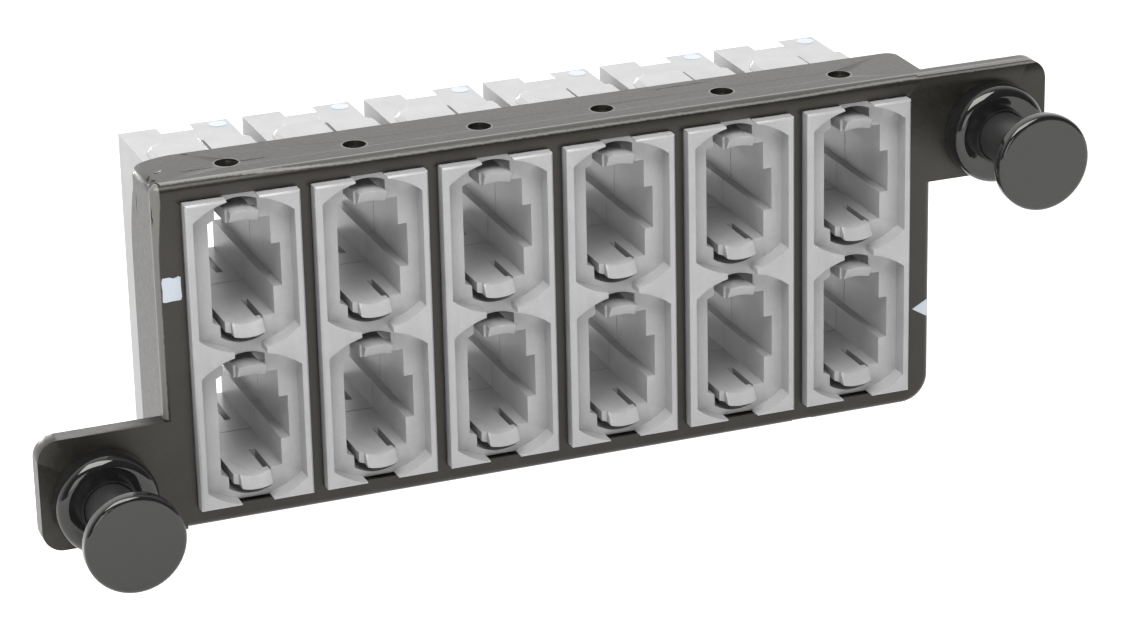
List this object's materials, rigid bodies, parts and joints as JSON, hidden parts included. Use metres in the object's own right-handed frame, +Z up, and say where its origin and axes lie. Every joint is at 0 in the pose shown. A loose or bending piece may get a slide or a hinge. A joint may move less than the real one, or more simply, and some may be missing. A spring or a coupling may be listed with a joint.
{
  "type": "fibre adapter panel",
  "caption": "Folded black metal panel holding grey dual multi-fibre adapters, with an ear and a push-pull plunger fastener at each end, for the front of a fibre housing.",
  "frame": {"origin": "centre of the panel, on the plane of the plate's rear face, where the ears seat on the housing", "axes": "+X along the panel to the right as seen from the front, +Y into the housing, +Z up"},
  "size_m": [0.089, 0.0289, 0.0298],
  "materials": {
    "black_powder_coat": "satin powder coat",
    "adapter_grey": "matt moulded",
    "fastener_black": "glossy moulded"
  },
  "bodies": {
    "panel": {"panel_plate": "black_powder_coat", "adapter_1_front_shell": "adapter_grey", "adapter_1_rear_shell": "adapter_grey", "adapter_2_front_shell": "adapter_grey", "adapter_2_rear_shell": "adapter_grey", "adapter_3_front_shell": "adapter_grey", "adapter_3_rear_shell": "adapter_grey", "adapter_4_front_shell": "adapter_grey", "adapter_4_rear_shell": "adapter_grey", "adapter_5_front_shell": "adapter_grey", "adapter_5_rear_shell": "adapter_grey", "adapter_6_front_shell": "adapter_grey", "adapter_6_rear_shell": "adapter_grey", "left_grommet": "fastener_black", "right_grommet": "fastener_black"},
    "left_fastener_plunger": {"left_plunger": "fastener_black"},
    "right_fastener_plunger": {"right_plunger": "fastener_black"}
  },
  "joints": [
    {"name": "left_plunger_slide", "type": "slide", "parent": "panel", "child": "left_fastener_plunger", "axis": [0, 1, 0], "range_m": [0, 0.006]},
    {"name": "right_plunger_slide", "type": "slide", "parent": "panel", "child": "right_fastener_plunger", "axis": [0, 1, 0], "range_m": [0, 0.006]}
  ]
}
